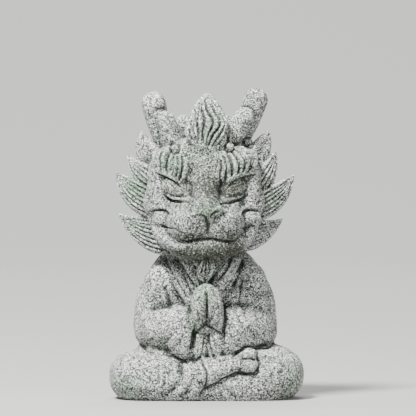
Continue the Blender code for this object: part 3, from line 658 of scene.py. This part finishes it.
for points, width, depth, near, quick in (
    ([(0.9, 91.6), (1.4, 92.6), (2.5, 93.8), (3.9, 94.3), (4.9, 93.5)], 0.5, 1.7, nose, 8),
    ([(-5.7, 93.2), (-3.4, 92.2), (-1.9, 91.6), (0.2, 91.6), (1.2, 92.3)], 0.6, 0.9, nose, 5),
    ([(5.2, 92.0), (7.6, 93.4), (10.2, 94.0), (13.0, 93.2), (15.2, 91.0)], 0.9, 0.5, lobes, 5),
    ([(-6.5, 93.6), (-9.3, 94.6), (-12.4, 94.2), (-15.6, 92.4)], 0.9, 0.4, lobes, 5),
    ([(-2.8, 91.7), (-1.2, 89.0), (-0.8, 85.5), (-0.8, 82.0)], 1.2, 1.6, cleft, 4),
    ([(-15.2, 80.6), (-11, 79.5), (-7.7, 80.1), (-4.4, 80.6), (-1, 80.8), (2.3, 80.6), (6.2, 79.9),
      (10.1, 79.4), (13.4, 80.0)], 0.42, 1.2, mouth, 5),
):
    chisel.cut(points, width, depth, near=near, quick=quick)

# The robe's lines: the crossed collar and the armpits first, then the elbows, the sleeves' soft folds,
# hems and openings. Each is a rounded crease, as in thick cloth.
chest = (-45, 0)
for points, width, depth, quick in (
    ([(-20.5, 70.5), (-17.0, 61.7), (-14.7, 58.1), (-12.4, 54.4), (-9.3, 49.9)], 0.6, 1.0, 5),
    ([(-14.2, 69.4), (-12.0, 65), (-9.9, 61.3), (-8.0, 58.6), (-6.2, 56.4)], 0.75, 1.3, 5),
    ([(19.0, 70.3), (17.6, 66.3), (14.6, 61.9), (11.4, 57.4), (7.8, 52.4)], 0.75, 1.6, 7),
    ([(13.0, 71.7), (11.0, 67.7), (8.7, 64.2), (4.2, 59.3)], 0.75, 1.5, 5),
    ([(7.4, 63.6), (5.6, 60.8), (4.2, 59.0)], 0.6, 0.7, 5),
    ([(-21.2, 57.0), (-20.2, 53.6), (-19.2, 50.6), (-17.6, 47.4)], 0.9, 1.3, 5),
    ([(18.1, 60.8), (16.8, 56.3), (16.3, 51.7), (15.8, 47.2)], 0.65, 1.1, 5),
):
    chisel.cut(points, width, depth, near=chest, quick=quick)
sleeves = (-45, 3)
for points, width, depth, quick in (
    ([(-29.7, 44.4), (-27.2, 45.6), (-24.2, 46.4), (-21.7, 46.9), (-18.7, 47.1), (-16.7, 47.2)],
     1.0, 2.3, 4),
    ([(9.8, 48.6), (14.9, 47.8), (18.6, 47.8), (22.5, 48.0)], 0.6, 0.7, 3),
    ([(23.0, 47.2), (26.5, 44.8), (29.5, 40.8)], 1.4, 0.8, 3),
    ([(13, 46.6), (14.6, 42.4), (17.6, 36.4)], 1.2, 1.2, 3),
    ([(16.8, 46.8), (19.2, 43)], 1.0, 0.6, 3),
    ([(-14.4, 40.0), (-16.4, 35.5), (-20.5, 30.0), (-26.0, 25.6)], 1.7, 1.0, 3),
    ([(-11.6, 38.0), (-12.4, 33.0), (-14.4, 28.5), (-16.8, 24.8)], 1.5, 1.0, 3),
    ([(-34.5, 28), (-30.7, 25.3), (-27.2, 23.8), (-23.2, 23.1), (-19.7, 22.8), (-16.7, 21.8),
      (-13.7, 20.3), (-9.7, 19.1), (-6.7, 19.8), (-3.7, 22.3), (-2.4, 26.8), (-1.8, 35)], 0.6, 1.0, 12),
    ([(34, 27.5), (30, 25.9), (24.5, 26), (18.5, 26.2), (16, 25.1), (13.1, 23.1), (9.6, 21.5),
      (6, 20.4), (4.6, 20.8), (2.8, 22), (1.4, 24.9), (0.5, 28.5), (-0.1, 34.5)], 0.55, 0.9, 12),
    ([(-9.2, 47.5), (-8.9, 42.8), (-7.9, 39.3), (-7.2, 35.8), (-7.3, 32)], 0.6, 1.5, 5),
    ([(-7.2, 34.5), (-7.3, 30.5), (-8.0, 27), (-8.9, 24.5)], 1.0, 2.2, 3),
    ([(8.7, 48.5), (8.3, 42), (7.9, 36), (7.8, 29)], 0.45, 0.8, 4),
):
    chisel.cut(points, width, depth, near=sleeves, quick=quick)

# The lines of hands, legs and foot: the seam between the palms and their edges at the cuffs, the fold
# over the ankle, the foot's sole and toes, and the robe's folds over the knees.
lap = (-45, 5)
for points, width, depth, quick in (
    ([(-1.1, 54.4), (-1.0, 50.5), (-1.0, 44.5), (-1.2, 37.6)], 0.4, 1.0, 5),
    ([(-4.6, 52.6), (-4.9, 49.6), (-3.6, 46.6), (-1.6, 45.0)], 0.5, 0.5, 4),
    ([(-4.6, 55.0), (-2.8, 56.8), (0.6, 57.0), (3.2, 55.2)], 0.5, 0.6, 5),
    ([(1.2, 55.0), (3.4, 52.9), (4.8, 50.2), (4.4, 46.4), (1.8, 44.4)], 0.5, 1.0, 4),
    ([(-7.4, 33.0), (-5.4, 34.5), (-2.9, 36.9), (-1.2, 38.2)], 0.5, 1.2, 8),
    ([(-1.2, 38.0), (0.6, 37.0), (3.1, 35.3), (6.4, 33.4)], 0.45, 1.1, 6),
    ([(-3.9, 20.4), (-2.6, 17.4), (-1.5, 15.3), (-1.1, 12.4), (-1.3, 9.2), (-1.9, 6.3), (-3.3, 4.2),
      (-4.7, 1.0)], 0.7, 1.8, 8),
    ([(-2.4, 5.3), (-0.1, 6.9), (3.9, 9), (7.4, 11.2), (11.4, 12.9), (14.6, 14.1), (16.7, 13.7),
      (19.2, 13.3), (22.3, 14.4)], 0.6, 1.6, 9),
    ([(15.2, 20.3), (17.4, 20.9), (19.6, 21.3), (21.4, 21.1), (23.2, 20)], 0.6, 0.8, 5),
    ([(5.6, 9.8), (8.9, 5.6), (12.8, 1.7), (14.6, 0.6)], 1.4, 1.1, 3),
    ([(-14.6, 19.6), (-13.8, 14.5), (-14.6, 10.0), (-18.0, 5.6), (-24.0, 1.0)], 1.9, 1.6, 4),
    ([(-8.3, 15.5), (-8.1, 10.0), (-10.0, 5.6), (-13.5, 1.6)], 1.5, 1.1, 3),
    ([(24.2, 25.8), (27, 26.9), (30, 27.4)], 0.8, 0.8, 4),
    ([(22.6, 25.6), (24.7, 22.6), (25.3, 18.1), (23.6, 14.6), (20.6, 13.2)], 0.8, 0.9, 4),
    ([(25.5, 21.5), (29.5, 22.3), (35, 19.5)], 1.2, 1.3, 3),
    ([(-40.5, 19.8), (-35.5, 22.2), (-30.7, 22.3)], 1.1, 1.2, 3),
):
    chisel.cut(points, width, depth, near=lap, quick=quick)

# Behind, the photograph shows nothing. The robe's collar, its fall from the shoulders and a few soft
# folds over the seat are carved there as on the front, only plainer.
back = (-5, 60)
chisel.step([(-17, 66), (-8, 62.5), (0, 61.5), (8, 62.5), (17, 66)], 1.4, 5, facing=1, near=back)
for side in (-1, 1):
    for points, width, depth in (
        (((17, 58), (15.5, 47), (17, 33), (19, 26)), 1.2, 1.5),
        (((5, 52), (7, 40), (6, 28)), 1.6, 0.8),
        (((38, 20), (28, 23.5), (18, 22)), 1.3, 1.2),
    ):
        chisel.cut([(side * x, z) for x, z in points], width, depth, facing=1, near=back)
chisel.cut([(-24, 14), (-8, 10), (10, 10), (26, 14)], 1.5, 1.0, facing=1, near=back)

# Old tea and damp darken the hollows, and painted shade darkens them further, where shade falls. How deep
# each spot lies is kept on the skin, so that the stone's colour can follow it, and the finished skin is
# thinned and cut off level at the underside.
edges = np.empty(len(figure.data.edges) * 2, np.int32)
figure.data.edges.foreach_get("vertices", edges)
edges = edges.reshape(-1, 2)
neighbours = np.bincount(edges.ravel(), minlength=len(chisel.points)).astype(float)


def softened(values, rounds):
    """Values on the skin after each has taken its neighbours' mean a number of times."""
    for _ in range(rounds):
        total = np.zeros_like(values)
        for k in range(values.shape[1]):
            total[:, k] = np.bincount(edges[:, 0], values[edges[:, 1], k], len(values))
            total[:, k] += np.bincount(edges[:, 1], values[edges[:, 0], k], len(values))
        values = total / neighbours[:, None]
    return values


def depth_below(level, full, rounds):
    """How deep the skin lies below a softened copy of it: 1 at full millimetres or more, and less than 0
    where it stands proud."""
    deep = ((level - chisel.points) * chisel.normals).sum(1)
    return softened(np.clip(deep / full, -1, 1)[:, None], rounds)[:, 0]


write_points(figure.data, chisel.points * MM)
figure.data.update()
soft_skin = softened(chisel.points, 10)
line_depth = depth_below(soft_skin, full=0.4, rounds=1)
nook_depth = depth_below(softened(soft_skin, 80), full=1.6, rounds=4)


def patches(spots):
    """Soft round patches on the skin, each given as (x, z, reach in x, reach in z, strength). They are
    strongest on what looks forward, and there are none on what looks back."""
    total = np.zeros(len(chisel.points))
    to_the_front = np.clip(0.6 - chisel.normals[:, 1], 0, 1)
    for x, z, across, upward, strength in spots:
        away = ((chisel.points[:, 0] - x) / across) ** 2 + ((chisel.points[:, 2] - z) / upward) ** 2
        total += strength * np.exp(-away)
    return total * to_the_front


moss = patches([
    (-18, 117, 7, 7, 0.7), (14, 115, 8, 6, 0.5), (-1, 96, 7, 4, 0.9), (-36, 106, 6, 8, 0.9),
    (-36, 86, 6, 6, 0.6), (-2, 54, 5, 5, 0.9), (-7, 38, 3, 8, 0.6), (2, 133, 7, 9, 0.5),
    (-1, 66, 6, 4, 0.2), (-40, 8, 7, 7, 0.6), (42, 9, 5, 8, 0.5), (34, 100, 5, 9, 0.4),
    (-2, 122, 16, 8, 0.25),
])
# These patches are brown dirt on the muzzle and on the right knee, and painted shade under the chin, over
# both lids and on the right side of the nose bridge; the patch down the bridge is partly dirt and partly
# painted shade. The rest darken the hands, the bottom of the left leg, the right of the chest, the right
# horn and cheek, and the whole head a little.
dirt_and_shade = patches([
    (-9, 81.5, 8, 4, 0.7), (11, 82, 5, 4, 0.7), (0, 87, 15, 8, 0.55), (-1, 73.3, 15, 3.4, 3.0),
    (12, 74.5, 6, 3, 0.9), (36, 4, 9, 5, 0.5), (-12, 3, 20, 3, 0.3), (-1.9, 108, 6, 10, 0.8),
    (3.0, 103.5, 4, 6, 0.4), (11, 105, 8, 5, 1.0), (-1, 45, 8, 9, 0.4), (-16, 105, 8, 5, 0.55),
    (20, 66, 8, 8, 0.25), (24, 142, 5, 9, 0.25), (20.5, 90, 6, 5, 0.3), (0, 108, 60, 30, 0.2),
])
for name, values in (("lines", line_depth), ("nooks", nook_depth), ("moss", moss), ("dirt_and_shade", dirt_and_shade)):
    attribute = figure.data.attributes.new(name, "FLOAT", "POINT")
    attribute.data.foreach_set("value", values.astype(np.float32))

bpy.ops.object.select_all(action="DESELECT")
figure.select_set(True)
bpy.context.view_layer.objects.active = figure
figure.data.calc_loop_triangles()
modifier = figure.modifiers.new("thin", "DECIMATE")
most_triangles = 190000
modifier.ratio = most_triangles / len(figure.data.loop_triangles)
bpy.ops.object.modifier_apply(modifier="thin")
margin = 2e-5
room_low = np.array([*solid_low[:2], -1.0]) + margin
room_high = np.array(solid_high) - margin
write_points(figure.data, np.clip(read_points(figure.data), room_low, room_high))
bpy.ops.object.mode_set(mode="EDIT")
bpy.ops.mesh.select_all(action="SELECT")
bpy.ops.mesh.bisect(plane_co=(0, 0, 0), plane_no=(0, 0, -1), use_fill=True, clear_outer=True,
                    threshold=1e-7)
bpy.ops.object.mode_set(mode="OBJECT")
bpy.ops.object.shade_smooth()

# The stone: pale grey cement full of black, grey and white chips half a millimetre to a millimetre
# across, matt and rough, with a trace of green and brown where damp and tea have stood. Its hollows, the
# underside of the chin and the lids are darkened with painted shade, and its raised edges are lightened
# with a painted highlight.
stone = bpy.data.materials.new("granite_cast_stone")
stone.use_nodes = True
nodes, wires = stone.node_tree.nodes, stone.node_tree.links
shader = nodes["Principled BSDF"]
shader.inputs["Roughness"].default_value = 0.82
shader.inputs["Specular IOR Level"].default_value = 0.3
where = nodes.new("ShaderNodeTexCoord")


def painted(name):
    """What was kept on the skin under a name."""
    made = nodes.new("ShaderNodeAttribute")
    made.attribute_name = name
    return made.outputs["Fac"]


def noise(scale, detail, roughness=0.5):
    """A cloudy pattern with scale clouds to the metre."""
    made = nodes.new("ShaderNodeTexNoise")
    made.inputs["Scale"].default_value = scale
    made.inputs["Detail"].default_value = detail
    made.inputs["Roughness"].default_value = roughness
    wires.new(where.outputs["Object"], made.inputs["Vector"])
    return made.outputs["Fac"]


def ramp(source, stops):
    """Turns a grey value into colours at (place, colour) stops."""
    made = nodes.new("ShaderNodeValToRGB")
    band = made.color_ramp
    while len(band.elements) < len(stops):
        band.elements.new(0.5)
    for element, (place, colour) in zip(band.elements, stops):
        element.position = place
        element.color = (*colour, 1)
    wires.new(source, made.inputs["Fac"])
    return made.outputs["Color"]


def times(a, b):
    """The product of two patterns."""
    made = nodes.new("ShaderNodeMath")
    made.operation = "MULTIPLY"
    wires.new(a, made.inputs[0])
    wires.new(b, made.inputs[1])
    return made.outputs[0]


def multiplied_in(share, colour, tint):
    """Multiplies a colour by a stain, or by painted shade, where share is 1, and by less of it where
    share is less.
    Share may be a number or a pattern, and the stain or shade a colour or a pattern."""
    made = nodes.new("ShaderNodeMix")
    made.data_type = "RGBA"
    made.blend_type = "MULTIPLY"
    made.clamp_factor = True
    if isinstance(share, float):
        made.inputs[0].default_value = share
    else:
        wires.new(share, made.inputs[0])
    wires.new(colour, made.inputs[6])
    if isinstance(tint, tuple):
        made.inputs[7].default_value = (*tint, 1)
    else:
        wires.new(tint, made.inputs[7])
    return made.outputs[2]


cells = nodes.new("ShaderNodeTexVoronoi")
cells.inputs["Scale"].default_value = 2300
wires.new(where.outputs["Object"], cells.inputs["Vector"])
one_each = nodes.new("ShaderNodeSeparateColor")
wires.new(cells.outputs["Color"], one_each.inputs[0])
grain = one_each.outputs[0]
colour = ramp(grain, [
    (0.0, (0.008, 0.0085, 0.0078)),
    (0.4, (0.03, 0.032, 0.029)),
    (0.62, (0.2, 0.208, 0.197)),
    (0.8, (0.5, 0.515, 0.49)),
    (1.0, (0.98, 1.0, 0.96)),
])
clouds = ramp(noise(90, 3.0), [(0.3, (0.84, 0.86, 0.85)), (0.7, (1.0, 1.0, 1.0))])
colour = multiplied_in(1.0, colour, clouds)
# Painted shade, with the stain of damp: the cut lines and the broad hollows are darkened by how deep they
# lie.
for name, least in (("lines", 0.28), ("nooks", 0.38)):
    hollow_shade = ramp(painted(name), [
        (0.0, (1.0, 1.0, 1.0)),
        (0.15, (0.82, 0.84, 0.81)),
        (0.8, (least, 1.08 * least, least)),
    ])
    colour = multiplied_in(1.0, colour, hollow_shade)
# Painted highlight: the raised edges and the tops of the strands are lightened where they stand proud.
ridge_highlight = nodes.new("ShaderNodeMapRange")
ridge_highlight.inputs["From Min"].default_value = 0.0
ridge_highlight.inputs["From Max"].default_value = -0.6
ridge_highlight.inputs["To Max"].default_value = 0.09
wires.new(painted("lines"), ridge_highlight.inputs["Value"])
lighter = nodes.new("ShaderNodeMix")
lighter.data_type = "RGBA"
wires.new(ridge_highlight.outputs["Result"], lighter.inputs[0])
wires.new(colour, lighter.inputs[6])
lighter.inputs[7].default_value = (0.9, 0.93, 0.9, 1)
colour = lighter.outputs[2]
uneven = ramp(noise(900, 3.0, 0.8), [(0.36, (0.2, 0.2, 0.2)), (0.5, (1.0, 1.0, 1.0))])
colour = multiplied_in(times(painted("moss"), uneven), colour, (0.4, 0.66, 0.42))
# Brown dirt, with painted shade under the chin, over the lids and beside the nose bridge.
colour = multiplied_in(times(painted("dirt_and_shade"), uneven), colour, (0.14, 0.145, 0.115))
wires.new(colour, shader.inputs["Base Color"])
bump = nodes.new("ShaderNodeBump")
bump.inputs["Strength"].default_value = 0.3
bump.inputs["Distance"].default_value = 0.0003
wires.new(noise(1500, 2.0), bump.inputs["Height"])
wires.new(bump.outputs["Normal"], shader.inputs["Normal"])
figure.data.materials.clear()
figure.data.materials.append(stone)
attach(figure, "root")
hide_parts("dragon_figure")

# The floor that the figure stands on: plain, pale and matt paper. It is one sheet, swept up far behind
# the figure in one wide curve.
bpy.ops.object.select_all(action="DESELECT")
bpy.ops.mesh.primitive_plane_add(size=8)
floor = bpy.context.object
floor.name = "floor"
bpy.ops.object.mode_set(mode="EDIT")
bpy.ops.mesh.select_mode(type="EDGE")
bpy.ops.mesh.select_all(action="DESELECT")
bpy.ops.object.mode_set(mode="OBJECT")
for edge in floor.data.edges:
    edge.select = all(floor.data.vertices[v].co.y > 0 for v in edge.vertices)
bpy.ops.object.mode_set(mode="EDIT")
bpy.ops.mesh.extrude_region_move(TRANSFORM_OT_translate={"value": (0, 0, 5)})
bpy.ops.object.mode_set(mode="OBJECT")
for edge in floor.data.edges:
    ends = [floor.data.vertices[v].co for v in edge.vertices]
    edge.select = all(end.y > 0 and end.z < 1 for end in ends)
bpy.ops.object.mode_set(mode="EDIT")
bpy.ops.mesh.bevel(offset=2.5, offset_type="OFFSET", segments=24)
bpy.ops.object.mode_set(mode="OBJECT")
bpy.ops.object.shade_smooth()
paper = bpy.data.materials.new("pale_paper")
paper.use_nodes = True
paper.node_tree.nodes["Principled BSDF"].inputs["Base Color"].default_value = (0.31, 0.306, 0.3, 1)
paper.node_tree.nodes["Principled BSDF"].inputs["Roughness"].default_value = 0.9
floor.data.materials.append(paper)

# Studio light: a soft lamp above and to the left of the camera, a weak one at the right, one behind the
# figure for the backdrop, and a pale room around.
world = bpy.data.worlds.new("room")
bpy.context.scene.world = world
world.use_nodes = True
world.node_tree.nodes["Background"].inputs["Color"].default_value = (0.86, 0.88, 0.9, 1)
world.node_tree.nodes["Background"].inputs["Strength"].default_value = 0.3
for name, place, goal, size, watts in (
    ("key", (-0.48, -0.57, 1.15), (0, 0, 0.08), 0.3, 78),
    ("fill", (0.55, -1.0, 0.3), (0, 0, 0.08), 0.6, 10),
    ("backdrop", (0, 1.0, 2.4), (0, 3.2, 0.4), 1.5, 190),
):
    bpy.ops.object.light_add(type="AREA", location=place)
    lamp = bpy.context.object
    lamp.name = name
    lamp.data.size = size
    lamp.data.energy = watts
    aim = Vector(goal) - lamp.location
    lamp.rotation_euler = aim.to_track_quat("-Z", "Y").to_euler()

# The camera looks at the face from just left of the middle and a little above, through a long lens. It
# stands 2.6 m away, and its square picture is 208 mm wide at the figure.
bpy.ops.object.camera_add()
camera = bpy.context.object
turn = math.radians(-3)
rise = math.radians(2)
far = 2.6
shown_width = 0.208
looks_at = Vector((0.00125, 0, 0.0948))
back_off = Vector((math.sin(turn) * math.cos(rise), -math.cos(turn) * math.cos(rise), math.sin(rise)))
camera.location = looks_at + back_off * far
camera.rotation_euler = (-back_off).to_track_quat("-Z", "Y").to_euler()
camera.data.sensor_width = 36
camera.data.lens = camera.data.sensor_width * far / shown_width
camera.data.clip_start = 0.05
camera.data.clip_end = 50
bpy.context.scene.camera = camera
